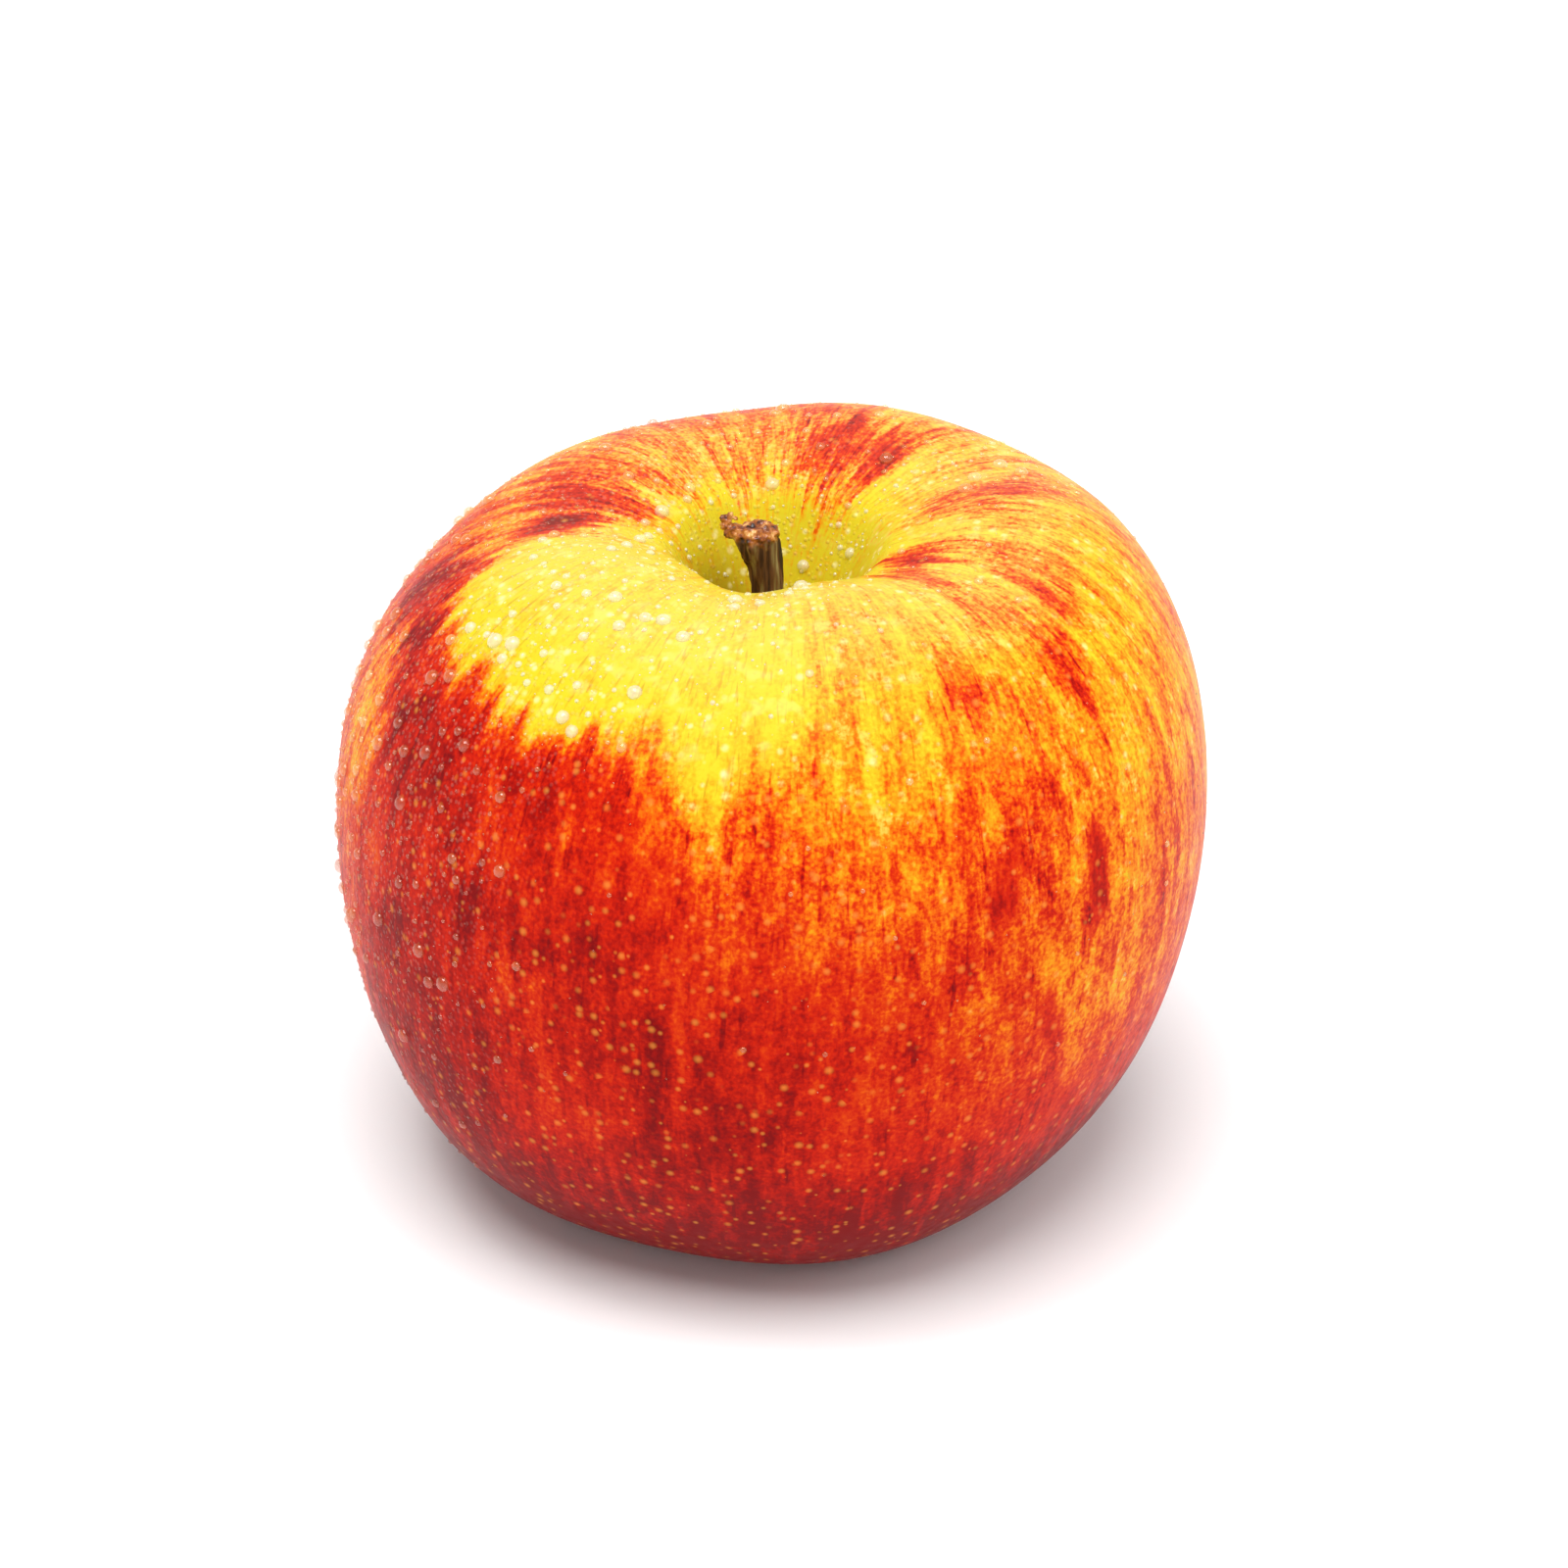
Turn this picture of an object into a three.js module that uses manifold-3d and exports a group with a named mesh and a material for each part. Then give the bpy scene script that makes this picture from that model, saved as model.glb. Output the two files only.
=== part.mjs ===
// A ripe dessert apple as picked, standing on its calyx end.
//
// Millimetres, +Z up. The origin is in the middle of the widest ring, on the plane the apple stands on.
// The crown leans towards +X and is highest between +X and +Y.
// Skin and flesh are one solid, with a socket in the stem cavity for the butt of the woody stem.
// The dried calyx, five sepals round a tuft of stamens, hangs from the floor of the basin underneath.

import * as THREE from "three";
import { mergeVertices } from "three/addons/utils/BufferGeometryUtils.js";
import Module from "manifold-3d";

// ---- Fruit ----
const fruitDiameter = 76; // at the widest ring of the cheeks
const crownHeight = 60.5; // foot to the mean crest of the crown
const widestHeight = 32.5; // foot to the widest ring
const crownDiameter = 35; // crest ring round the stem cavity
const footDiameter = 41; // outer edge of the flat ring it stands on
const basinDiameter = 33; // inner edge of that ring, where the calyx basin begins
const basinDepth = 10; // foot to the floor of the basin
const upperFullness = 2.15; // superellipse exponent of the cheek above the widest ring; 2 is an ellipse
const lowerFullness = 1.95; // the same below the widest ring

// ---- Stem cavity ----
const dishDepth = 4.5; // wide, shallow dish inside the crest
const funnelDiameter = 20; // steeper funnel in the middle of the dish
const funnelDepth = 11;
const cavityShift = -0.7; // middle of the cavity, along X from the middle of the crown

// ---- Growth ----
const lobes = 5; // one for each seed chamber
const lobeAngle = -2; // degrees from +X to the first lobe
const lobeSwell = 0.02; // share of the radius a lobe stands out by at the foot, and draws in by at the crown
const crownRipple = 0.6; // rise of the crest over each lobe
const crownTilt = 1.6; // extra height on the crown's high side
const tiltAngle = 50; // degrees from +X to the high side
const crownLean = 1.8; // how far the crown leans towards +X

// ---- Stem ----
const stemButt = 3.6; // diameter where it enters the fruit
const stemWaist = 2.7; // diameter at its slimmest
const stemKnob = 4.2; // diameter of the swollen end, where it broke from the spur
const stemRise = 15.4; // floor of the cavity to the top of the knob
const stemLean = -1.6; // how far the top stands off the butt, along X
const socketDepth = 3; // how far the butt goes into the flesh
const clearance = 0.3; // between pieces that touch

// ---- Calyx ----
const sepalCount = 5;
const sepalLength = 6.2;
const sepalWidth = 3; // at its widest
const sepalThickness = 0.7;
const sepalDrawIn = 0.74; // how far sepals lean in before they curl out
const sepalCurl = 1.36; // how far a sepal's tip stands out from its foot
const tuftDiameter = 2.4; // pad the stamens grow from
const tuftLength = 4.4; // pad to the tips of the stamens
const stamenCount = 7; // one in the middle, the others round it
const stamenDiameter = 0.5;
const stamenSpread = 0.5; // how far the tip of an outer stamen stands out from its foot

// ---- Fineness of the meshes ----
const fruitSides = 80;
const cheekSteps = 13;
const cavitySteps = 13;
const basinSteps = 9;

const waxySkin = new THREE.MeshStandardMaterial({ color: 0xd23a1c, roughness: 0.32, metalness: 0 });
const bark = new THREE.MeshStandardMaterial({ color: 0x6a4a2c, roughness: 0.7, metalness: 0 });
const dryLeaf = new THREE.MeshStandardMaterial({ color: 0x5c4a34, roughness: 0.85, metalness: 0 });

const fruitRadius = fruitDiameter / 2;
const crownRadius = crownDiameter / 2;
const footRadius = footDiameter / 2;
const basinRadius = basinDiameter / 2;
const funnelRadius = funnelDiameter / 2;
const calyxRadius = sepalWidth / 2 / Math.tan(Math.PI / sepalCount) + sepalDrawIn + clearance;
const seatRadius = Math.hypot(calyxRadius + sepalThickness, sepalWidth / 2) + clearance;

const { clamp, degToRad, lerp } = THREE.MathUtils;
const manifold = await Module();
manifold.setup();

// Fills in a hollow: 1 in its middle and 0 at its edge, level at both.
function bowl(share) {
  return (1 - Math.min(Math.max(share, 0), 1) ** 2) ** 2;
}

function cavityHeight(radius) {
  return crownHeight - dishDepth * bowl(radius / crownRadius) - funnelDepth * bowl(radius / funnelRadius);
}

// The basin has a level floor as wide as the calyx.
function basinHeight(radius) {
  return basinDepth * bowl((radius - seatRadius) / (basinRadius - seatRadius));
}

// Quarter of a superellipse, from its top (0, height) almost to its side (width, 0).
function cheek(width, height, fullness) {
  return Array.from({ length: cheekSteps }, (_, step) => {
    const turn = (step / cheekSteps) * (Math.PI / 2);
    const across = width * Math.sin(turn) ** (2 / fullness);
    return new THREE.Vector2(across, height * Math.cos(turn) ** (2 / fullness));
  });
}

// Half outline of an even fruit, before its lobes and its lean, from the basin's floor to the cavity's.
function fruitOutline() {
  const outline = [new THREE.Vector2(0, basinDepth)];
  for (let step = 0; step <= basinSteps; step++) {
    const radius = lerp(seatRadius, basinRadius, step / basinSteps);
    outline.push(new THREE.Vector2(radius, basinHeight(radius)));
  }
  for (const p of cheek(fruitRadius - footRadius, widestHeight, lowerFullness)) {
    outline.push(new THREE.Vector2(footRadius + p.x, widestHeight - p.y));
  }
  outline.push(new THREE.Vector2(fruitRadius, widestHeight));
  for (const p of cheek(fruitRadius - crownRadius, crownHeight - widestHeight, upperFullness).reverse()) {
    outline.push(new THREE.Vector2(crownRadius + p.x, widestHeight + p.y));
  }
  for (let step = cavitySteps - 1; step >= 0; step--) {
    const radius = crownRadius * (step / cavitySteps);
    outline.push(new THREE.Vector2(radius, cavityHeight(radius)));
  }
  return outline;
}

// Moves a point of the even fruit to where it grew. The foot stays level.
function grow(point) {
  const radius = Math.hypot(point.x, point.y);
  const angle = Math.atan2(point.y, point.x);
  const lobe = Math.cos(lobes * (angle - degToRad(lobeAngle)));
  const above = (point.z - widestHeight) / (crownHeight - widestHeight);
  const crown = clamp(Math.min(above, radius / crownRadius), 0, 1);
  const foot = clamp(Math.min(1 - point.z / widestHeight, radius / footRadius), 0, 1);
  const swell = 1 + lobeSwell * lobe * (foot - crown);
  const x = point.x * swell;
  const y = point.y * swell;
  const side = (x * Math.cos(degToRad(tiltAngle)) + y * Math.sin(degToRad(tiltAngle))) / fruitRadius;
  const z = (point.z + crownRipple * lobe * crown) * (1 + (crownTilt * side) / crownHeight);
  const lean = crownLean * ((z / crownHeight) ** 2 - (widestHeight / crownHeight) ** 2);
  const shift = above > 0 ? cavityShift * (1 - Math.min(radius / crownRadius, 1) ** 2) : 0;
  return point.set(x + lean + shift, y, z);
}

// Turns a half outline about Z, and moves each vertex by a function.
function turned(outline, sides, move) {
  const geometry = new THREE.LatheGeometry(outline, sides).rotateX(Math.PI / 2);
  const positions = geometry.getAttribute("position");
  const vertex = new THREE.Vector3();
  for (let i = 0; i < positions.count; i++) {
    move(vertex.fromBufferAttribute(positions, i));
    positions.setXYZ(i, vertex.x, vertex.y, vertex.z);
  }
  return geometry;
}

// A limb with round ends that follows a curve in the XZ plane.
// girth lists [share of the length, diameter], and flatness squeezes the section in that plane.
function limb(curve, girth, { flatness = 1, sides = 14, steps = 14 } = {}) {
  const knots = girth.map(([along, diameter]) => new THREE.Vector2(diameter / 2, along));
  const bent = new THREE.SplineCurve(knots).getPoints(steps);
  const outline = [new THREE.Vector2(0, 0), ...bent, new THREE.Vector2(0, 1)];
  const across = new THREE.Vector3(0, 1, 0);
  return turned(outline, sides, (vertex) => {
    const along = clamp(vertex.z, 0, 1);
    const normal = new THREE.Vector3().crossVectors(across, curve.getTangentAt(along));
    const off = normal.multiplyScalar(vertex.x * flatness).addScaledVector(across, vertex.y);
    vertex.copy(curve.getPointAt(along)).add(off);
  });
}

function pathOf(...points) {
  return new THREE.CatmullRomCurve3(points.map(([x, z]) => new THREE.Vector3(x, 0, z)));
}

// A closed geometry as a manifold solid, and back.
function solidOf(geometry) {
  const bare = new THREE.BufferGeometry().setAttribute("position", geometry.getAttribute("position"));
  const merged = mergeVertices(bare.setIndex(geometry.getIndex()), 1e-4);
  const vertProperties = merged.getAttribute("position").array;
  const triVerts = new Uint32Array(merged.getIndex().array);
  return new manifold.Manifold(new manifold.Mesh({ numProp: 3, vertProperties, triVerts }));
}

function geometryOf(solid) {
  const { vertProperties, triVerts } = solid.getMesh();
  const positions = new THREE.BufferAttribute(vertProperties, 3);
  const geometry = new THREE.BufferGeometry().setAttribute("position", positions);
  return geometry.setIndex(new THREE.BufferAttribute(triVerts, 1));
}

function piece(name, geometry, material) {
  const mesh = new THREE.Mesh(geometry, material);
  mesh.name = name;
  geometry.computeVertexNormals();
  return mesh;
}

// Where the stem and the calyx sit: the floors of the cavity and of the basin.
const stemSeat = grow(new THREE.Vector3(0, 0, cavityHeight(0)));
const calyxSeat = grow(new THREE.Vector3(0, 0, basinDepth));

function fruit() {
  const body = solidOf(turned(fruitOutline(), fruitSides, grow));
  const boreRadius = stemButt / 2 + clearance;
  const bore = new THREE.CylinderGeometry(boreRadius, boreRadius, 2 * socketDepth, 24);
  bore.rotateX(Math.PI / 2).translate(stemSeat.x, stemSeat.y, stemSeat.z);
  return piece("fruit", geometryOf(body.subtract(solidOf(bore))), waxySkin);
}

function stem() {
  const path = pathOf(
    [0, clearance - socketDepth],
    [0, 0],
    [0, stemRise * 0.45],
    [stemLean * 0.4, stemRise * 0.78],
    [stemLean, stemRise],
  );
  const girth = [
    [0, stemButt],
    [0.16, stemButt],
    [0.34, stemWaist * 1.06],
    [0.6, stemWaist],
    [0.8, stemWaist * 1.15],
    [0.92, stemKnob],
    [1, stemKnob * 0.8],
  ];
  const mesh = piece("stem", limb(path, girth, { steps: 22 }), bark);
  mesh.position.copy(stemSeat);
  return mesh;
}

// A sepal stands under the basin's floor, leans in to its neighbours and curls out at the tip.
function sepal(number) {
  const path = pathOf([0, 0], [-sepalDrawIn, -0.4 * sepalLength], [sepalCurl, -0.92 * sepalLength]);
  const girth = [
    [0, sepalWidth * 0.75],
    [0.3, sepalWidth],
    [0.65, sepalWidth * 0.6],
    [1, sepalWidth * 0.16],
  ];
  const geometry = limb(path, girth, { flatness: sepalThickness / sepalWidth, sides: 12, steps: 8 });
  const mesh = piece(`sepal_${number}`, geometry.translate(calyxRadius, 0, -clearance), dryLeaf);
  mesh.rotation.z = degToRad(lobeAngle) + ((number - 1) / sepalCount) * 2 * Math.PI;
  return mesh;
}

// Dried stamens that spread from one round pad.
function stamenTuft() {
  const padThickness = 2 * stamenDiameter;
  let tuft = solidOf(
    new THREE.CylinderGeometry(tuftDiameter / 2, tuftDiameter / 2, padThickness, 20)
      .rotateX(Math.PI / 2)
      .translate(0, 0, -clearance - padThickness / 2),
  );
  const girth = [
    [0, stamenDiameter],
    [0.85, stamenDiameter * 0.8],
    [0.93, stamenDiameter * 1.5],
    [1, stamenDiameter * 0.7],
  ];
  const outerRing = (tuftDiameter - stamenDiameter) / 2 - clearance;
  const root = -clearance - padThickness / 2;
  for (let i = 0; i < stamenCount; i++) {
    const foot = i === 0 ? 0 : outerRing;
    const spread = i === 0 ? 0 : stamenSpread;
    const path = pathOf([foot, root], [foot + spread / 5, -tuftLength / 2], [foot + spread, -tuftLength]);
    const turn = (i / (stamenCount - 1)) * 2 * Math.PI;
    tuft = tuft.add(solidOf(limb(path, girth, { sides: 8, steps: 7 }).rotateZ(turn)));
  }
  return piece("stamen_tuft", geometryOf(tuft), dryLeaf);
}

const calyx = new THREE.Group();
calyx.position.copy(calyxSeat);
for (let number = 1; number <= sepalCount; number++) calyx.add(sepal(number));
calyx.add(stamenTuft());

const group = new THREE.Group();
group.add(fruit(), stem(), calyx);

export default group;
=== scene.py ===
"""A ripe dessert apple, wet from rinsing: its waxy skin, woody stem, dried calyx and water drops."""

import math

import bpy
import numpy as np
from mathutils import Euler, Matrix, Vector, noise


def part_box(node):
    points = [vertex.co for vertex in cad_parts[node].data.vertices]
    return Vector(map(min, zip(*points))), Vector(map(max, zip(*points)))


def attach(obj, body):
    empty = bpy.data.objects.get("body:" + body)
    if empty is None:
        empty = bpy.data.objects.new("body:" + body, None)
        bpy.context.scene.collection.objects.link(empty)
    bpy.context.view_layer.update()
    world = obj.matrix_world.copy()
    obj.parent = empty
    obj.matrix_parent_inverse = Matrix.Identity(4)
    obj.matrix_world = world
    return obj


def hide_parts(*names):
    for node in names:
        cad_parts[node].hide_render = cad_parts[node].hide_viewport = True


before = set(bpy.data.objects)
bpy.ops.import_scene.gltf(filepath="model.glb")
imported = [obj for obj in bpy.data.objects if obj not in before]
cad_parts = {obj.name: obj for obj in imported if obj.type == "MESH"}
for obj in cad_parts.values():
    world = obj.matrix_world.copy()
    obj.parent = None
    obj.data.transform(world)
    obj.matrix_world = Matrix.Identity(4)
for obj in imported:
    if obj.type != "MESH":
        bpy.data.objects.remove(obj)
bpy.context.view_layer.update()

bl_info = {
    "name": "Dessert Apple",
    "version": (1, 0, 0),
    "blender": (4, 5, 0),
    "location": "View3D > Sidebar > Apple",
    "description": "Makes the skin, stem, calyx and water drops of a ripe apple, and a pale studio round it",
    "category": "Add Mesh",
}

MM = 0.001
FRUIT_LOW, FRUIT_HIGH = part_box("fruit")
LOBES = 5


def linear(code):
    """An sRGB hex colour as linear RGBA."""
    channels = [int(code[i : i + 2], 16) / 255 for i in (1, 3, 5)]
    return (*[c / 12.92 if c <= 0.04045 else ((c + 0.055) / 1.055) ** 2.4 for c in channels], 1.0)


# ---------------------------------------------------------------- settings


class APPLE_PG_shape(bpy.types.PropertyGroup):
    """Sizes of the fruit, as grown in the CAD part."""

    radius: bpy.props.FloatProperty(
        name="Radius",
        description="At the widest ring of the cheeks",
        default=(FRUIT_HIGH.y - FRUIT_LOW.y) / 2,
        unit="LENGTH",
    )
    crown_height: bpy.props.FloatProperty(
        name="Crown Height", description="Foot to the mean crest", default=60.5 * MM, unit="LENGTH"
    )
    widest_height: bpy.props.FloatProperty(
        name="Widest Height", description="Foot to the widest ring", default=32.5 * MM, unit="LENGTH"
    )
    crown_radius: bpy.props.FloatProperty(
        name="Crown Radius", description="Crest ring round the stem cavity", default=17.5 * MM, unit="LENGTH"
    )
    foot_radius: bpy.props.FloatProperty(
        name="Foot Radius",
        description="Outer edge of the ring it stands on",
        default=20.5 * MM,
        unit="LENGTH",
    )
    basin_radius: bpy.props.FloatProperty(
        name="Basin Radius", description="Inner edge of that ring", default=16.5 * MM, unit="LENGTH"
    )
    basin_depth: bpy.props.FloatProperty(
        name="Basin Depth", description="Foot to the basin's floor", default=10 * MM, unit="LENGTH"
    )
    seat_radius: bpy.props.FloatProperty(
        name="Seat Radius", description="Level floor round the calyx", default=4.4 * MM, unit="LENGTH"
    )
    dish_depth: bpy.props.FloatProperty(
        name="Dish Depth", description="Shallow dish inside the crest", default=4.5 * MM, unit="LENGTH"
    )
    funnel_radius: bpy.props.FloatProperty(
        name="Funnel Radius", description="Steep funnel in the dish", default=10 * MM, unit="LENGTH"
    )
    funnel_depth: bpy.props.FloatProperty(
        name="Funnel Depth", description="Depth of the funnel", default=11 * MM, unit="LENGTH"
    )
    upper_fullness: bpy.props.FloatProperty(
        name="Upper Fullness", description="Superellipse exponent above the widest ring", default=2.15
    )
    lower_fullness: bpy.props.FloatProperty(
        name="Lower Fullness", description="Superellipse exponent below the widest ring", default=1.95
    )
    lobe_angle: bpy.props.FloatProperty(
        name="Lobe Angle",
        description="Direction of the first lobe",
        default=math.radians(-2),
        subtype="ANGLE",
    )
    lobe_swell: bpy.props.FloatProperty(
        name="Lobe Swell", description="Share of the radius a lobe stands out by", default=0.02
    )
    crown_ripple: bpy.props.FloatProperty(
        name="Crown Ripple", description="Rise of the crest over each lobe", default=0.6 * MM, unit="LENGTH"
    )
    crown_tilt: bpy.props.FloatProperty(
        name="Crown Tilt", description="Extra height on the high side", default=1.6 * MM, unit="LENGTH"
    )
    tilt_angle: bpy.props.FloatProperty(
        name="Tilt Angle", description="Direction of the high side", default=math.radians(50), subtype="ANGLE"
    )
    crown_lean: bpy.props.FloatProperty(
        name="Crown Lean", description="Lean of the crown along X", default=1.8 * MM, unit="LENGTH"
    )
    cavity_shift: bpy.props.FloatProperty(
        name="Cavity Shift", description="Middle of the cavity, along X", default=-0.7 * MM, unit="LENGTH"
    )
    unevenness: bpy.props.FloatProperty(
        name="Unevenness",
        description="Soft dents and swellings of the flesh",
        default=0.22 * MM,
        unit="LENGTH",
    )
    sides: bpy.props.IntProperty(name="Sides", description="Faces round the fruit", default=344)
    rings: bpy.props.IntProperty(name="Rings", description="Faces from stem to calyx", default=288)


class APPLE_PG_skin(bpy.types.PropertyGroup):
    """Colours of the skin."""

    ground: bpy.props.FloatVectorProperty(
        name="Ground",
        description="Skin with no blush",
        default=linear("#D7C426"),
        size=4,
        subtype="COLOR",
    )
    deepest_blush: bpy.props.FloatVectorProperty(
        name="Deepest Blush",
        description="Skin with the most blush",
        default=linear("#7A0A0C"),
        size=4,
        subtype="COLOR",
    )
    cavity_green: bpy.props.FloatVectorProperty(
        name="Cavity Green",
        description="Unripe green round the stem",
        default=linear("#CAB420"),
        size=4,
        subtype="COLOR",
    )
    # In the cavity this colour is painted shade, on the side that lies in shadow; in the basin it is real
    # cork.
    russet_and_shade: bpy.props.FloatVectorProperty(
        name="Russet",
        description="Cork in the cavity and the basin",
        default=linear("#94780F"),
        size=4,
        subtype="COLOR",
    )
    lenticels: bpy.props.FloatVectorProperty(
        name="Lenticels",
        description="Pores on blushed skin",
        default=linear("#EC983C"),
        size=4,
        subtype="COLOR",
    )


class APPLE_PG_stem(bpy.types.PropertyGroup):
    """The woody stem and the knob it broke off at."""

    waist: bpy.props.FloatProperty(
        name="Waist", description="Radius at its thinnest", default=1.33 * MM, unit="LENGTH"
    )
    fineness: bpy.props.FloatProperty(
        name="Fineness", description="Size of the faces of its bark", default=0.1 * MM, unit="LENGTH"
    )
    fibre_depth: bpy.props.FloatProperty(
        name="Fibre Depth", description="Depth of the furrows in its bark", default=0.22 * MM, unit="LENGTH"
    )


class APPLE_PG_calyx(bpy.types.PropertyGroup):
    """The dried flower parts in the basin underneath."""

    sepals: bpy.props.IntProperty(name="Sepals", description="One on each lobe", default=LOBES)
    sepal_length: bpy.props.FloatProperty(
        name="Sepal Length", description="Foot to tip", default=6.2 * MM, unit="LENGTH"
    )
    sepal_width: bpy.props.FloatProperty(
        name="Sepal Width", description="At its widest", default=3 * MM, unit="LENGTH"
    )
    stamens: bpy.props.IntProperty(name="Stamens", description="Dried threads in the middle", default=16)


class APPLE_PG_water(bpy.types.PropertyGroup):
    """Water left on the skin after rinsing."""

    drop_spacing: bpy.props.FloatProperty(
        name="Drop Spacing", description="Least distance between drops", default=1.3 * MM, unit="LENGTH"
    )
    smallest_drop: bpy.props.FloatProperty(
        name="Smallest Drop", description="Radius", default=0.22 * MM, unit="LENGTH"
    )
    largest_drop: bpy.props.FloatProperty(
        name="Largest Drop", description="Radius", default=0.75 * MM, unit="LENGTH"
    )
    mist_spacing: bpy.props.FloatProperty(
        name="Mist Spacing",
        description="Least distance between beads of mist",
        default=0.7 * MM,
        unit="LENGTH",
    )
    smallest_bead: bpy.props.FloatProperty(
        name="Smallest Bead", description="Radius of a bead of mist", default=0.08 * MM, unit="LENGTH"
    )
    largest_bead: bpy.props.FloatProperty(
        name="Largest Bead", description="Radius of a bead of mist", default=0.24 * MM, unit="LENGTH"
    )
    seed: bpy.props.IntProperty(name="Seed", description="Another scatter of drops", default=7)


# ---------------------------------------------------------------- helpers


def add(tree, kind, links=None, **settings):
    """Adds a node. links gives each input, by name or number, a value, a socket or a node's first output."""
    node = tree.nodes.new(kind)
    for name, value in settings.items():
        setattr(node, name, value)
    for key, value in (links or {}).items():
        if isinstance(value, bpy.types.Node):
            value = value.outputs[0]
        if isinstance(value, bpy.types.NodeSocket):
            tree.links.new(value, node.inputs[key])
        else:
            node.inputs[key].default_value = value
    return node


def ramp(node, stops):
    """Sets a Color Ramp's stops, as positions with hex colours."""
    elements = node.color_ramp.elements
    for position, _ in stops[2:]:
        elements.new(position)
    for element, (position, code) in zip(elements, stops):
        element.position = position
        element.color = linear(code)
    return node


def new_material(name):
    """An empty material, and its node tree."""
    material = bpy.data.materials.new(name)
    material.use_nodes = True
    material.node_tree.nodes.clear()
    return material, material.node_tree


def mesh_object(name, points, faces, material, smooth=True):
    """An object made of points and faces, in the scene."""
    mesh = bpy.data.meshes.new(name)
    mesh.from_pydata([tuple(p) for p in points], [], faces)
    mesh.materials.append(material)
    mesh.polygons.foreach_set("use_smooth", [smooth] * len(mesh.polygons))
    mesh.update()
    piece = bpy.data.objects.new(name, mesh)
    bpy.context.scene.collection.objects.link(piece)
    return piece


def apply_modifiers(piece):
    """Turns an object with modifiers into a plain mesh."""
    depsgraph = bpy.context.evaluated_depsgraph_get()
    mesh = bpy.data.meshes.new_from_object(piece.evaluated_get(depsgraph), depsgraph=depsgraph)
    piece.modifiers.clear()
    piece.data = mesh


def node_group(name, sizes):
    """A geometry node tree with one geometry input and a named input for each size."""
    tree = bpy.data.node_groups.new(name, "GeometryNodeTree")
    tree.interface.new_socket("Geometry", in_out="INPUT", socket_type="NodeSocketGeometry")
    tree.interface.new_socket("Geometry", in_out="OUTPUT", socket_type="NodeSocketGeometry")
    for label, value in sizes.items():
        kind = "NodeSocketInt" if isinstance(value, int) else "NodeSocketFloat"
        tree.interface.new_socket(label, in_out="INPUT", socket_type=kind)
    return tree, add(tree, "NodeGroupInput")


def grown_mesh(source, tree, sizes, name):
    """Runs a node tree on an object, and returns the result as a plain object."""
    modifier = source.modifiers.new(tree.name, "NODES")
    modifier.node_group = tree
    for item in tree.interface.items_tree:
        if item.in_out == "INPUT" and item.name in sizes:
            modifier[item.identifier] = sizes[item.name]
    depsgraph = bpy.context.evaluated_depsgraph_get()
    mesh = bpy.data.meshes.new_from_object(source.evaluated_get(depsgraph), depsgraph=depsgraph)
    source.modifiers.remove(modifier)
    if not mesh.polygons:
        raise RuntimeError(f"{tree.name} made no faces")
    piece = bpy.data.objects.new(name, mesh)
    mesh.name = name
    bpy.context.scene.collection.objects.link(piece)
    return piece


# ---------------------------------------------------------------- fruit


def bowl(share):
    """Fills in a hollow: 1 in its middle and 0 at its edge, level at both."""
    return (1 - np.clip(share, 0, 1) ** 2) ** 2


def fruit_outline(shape, steps=160):
    """Half outline of an even fruit, from the middle of the stem cavity to the middle of the basin."""
    share = np.linspace(0, 1, steps, endpoint=False)
    turn = share * math.pi / 2
    radius = share * shape.crown_radius
    dish = shape.dish_depth * bowl(radius / shape.crown_radius)
    funnel = shape.funnel_depth * bowl(radius / shape.funnel_radius)
    cavity = np.stack([radius, shape.crown_height - dish - funnel], 1)
    power = 2 / shape.upper_fullness
    upper = np.stack([
        shape.crown_radius + (shape.radius - shape.crown_radius) * np.sin(turn) ** power,
        shape.widest_height + (shape.crown_height - shape.widest_height) * np.cos(turn) ** power,
    ], 1)
    power = 2 / shape.lower_fullness
    lower = np.stack([
        shape.foot_radius + (shape.radius - shape.foot_radius) * np.cos(turn) ** power,
        shape.widest_height * (1 - np.sin(turn) ** power),
    ], 1)
    radius = shape.basin_radius + (shape.seat_radius - shape.basin_radius) * share
    span = shape.basin_radius - shape.seat_radius
    basin = np.stack([radius, shape.basin_depth * bowl((radius - shape.seat_radius) / span)], 1)
    ends = np.array([[shape.seat_radius, shape.basin_depth], [0, shape.basin_depth]])
    return np.concatenate([cavity, upper, lower, basin, ends])


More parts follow.
